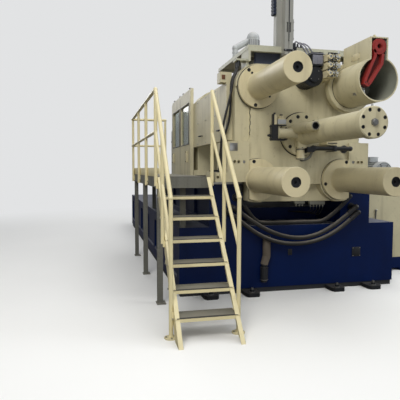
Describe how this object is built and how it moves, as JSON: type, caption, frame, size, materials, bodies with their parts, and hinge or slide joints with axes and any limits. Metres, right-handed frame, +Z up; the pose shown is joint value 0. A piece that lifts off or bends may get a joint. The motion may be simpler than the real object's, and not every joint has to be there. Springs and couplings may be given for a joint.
{
  "type": "die casting machine",
  "caption": "Cold-chamber die casting machine with a toggle clamp, tie bars, covers, a tie-bar puller, shot end, guards, stair and power unit on a long base.",
  "frame": {"origin": "floor level at the centre of the anchor holes in the base's corner pads", "axes": "+Z up; +Y along the machine from the clamp end to the shot end; +X to the right as seen from the clamp end; the stair is on the -X side"},
  "size_m": [3.944, 8.706, 3.8],
  "materials": {
    "navy_paint": "gloss navy paint, dusty",
    "cream_paint": "cream machine paint, stained and worn",
    "pale_cream_paint": "pale cream paint on the covers",
    "rail_paint": "cream-yellow paint on tube",
    "roof_paint": "grey-cream paint on sheet",
    "black_steel": "black painted and blackened steel",
    "sill_paint": "dark grey paint, dirty",
    "red_paint": "red paint, worn",
    "ground_steel": "ground steel, oiled",
    "hard_chrome": "hard chrome",
    "mast_alloy": "dull grey alloy profile",
    "chain_plastic": "dark blue-black plastic links",
    "blower_paint": "light grey paint",
    "hose_rubber": "black rubber with grey dust",
    "side_hose_rubber": "black rubber",
    "bottle_paint": "grey paint on pressure bottles",
    "grey_cast": "grey cast iron, oiled",
    "deck_plate": "grey worn deck plate"
  },
  "bodies": {
    "root": {"base_frame": "navy_paint", "base_sill": "sill_paint", "bed_walls": "navy_paint", "bed_ways": "ground_steel", "levelling_pads": "black_steel", "end_plate": "cream_paint", "tie_bars": "hard_chrome", "tie_bar_nuts": "ground_steel", "tie_bar_covers": "pale_cream_paint", "puller_flange": "cream_paint", "puller_housing": "cream_paint", "locking_arm": "red_paint", "arm_pin": "black_steel", "puller_nut": "grey_cast", "closing_cylinder": "cream_paint", "cylinder_rod": "hard_chrome", "stub_block": "black_steel", "cylinder_valves": "pale_cream_paint", "pressure_pipe": "black_steel", "die_height_motor": "black_steel", "valve_manifold": "pale_cream_paint", "top_frame": "roof_paint", "top_cover": "roof_paint", "roof_panel": "navy_paint", "service_mast": "mast_alloy", "mast_chain": "chain_plastic", "roof_blower": "blower_paint", "moving_platen": "cream_paint", "ejector_cylinder": "cream_paint", "toggle_links": "cream_paint", "toggle_pins": "ground_steel", "crosshead": "grey_cast", "guide_rods": "hard_chrome", "fixed_platen": "cream_paint", "shot_sleeve": "ground_steel", "shot_frame": "cream_paint", "shot_cylinder": "cream_paint", "plunger_rod": "hard_chrome", "accumulators": "bottle_paint", "side_guards": "cream_paint", "die_guards": "cream_paint", "stair": "rail_paint", "handrails": "rail_paint", "platform": "deck_plate", "power_skid": "navy_paint", "power_tank": "cream_paint", "pump_motors": "blower_paint", "hose_fittings": "black_steel", "hose_upper": "hose_rubber", "hose_lower": "hose_rubber", "hose_shelf": "hose_rubber", "side_hose_front": "side_hose_rubber", "side_hose_rear": "side_hose_rubber", "drain_pipe": "black_steel"}
  },
  "joints": []
}
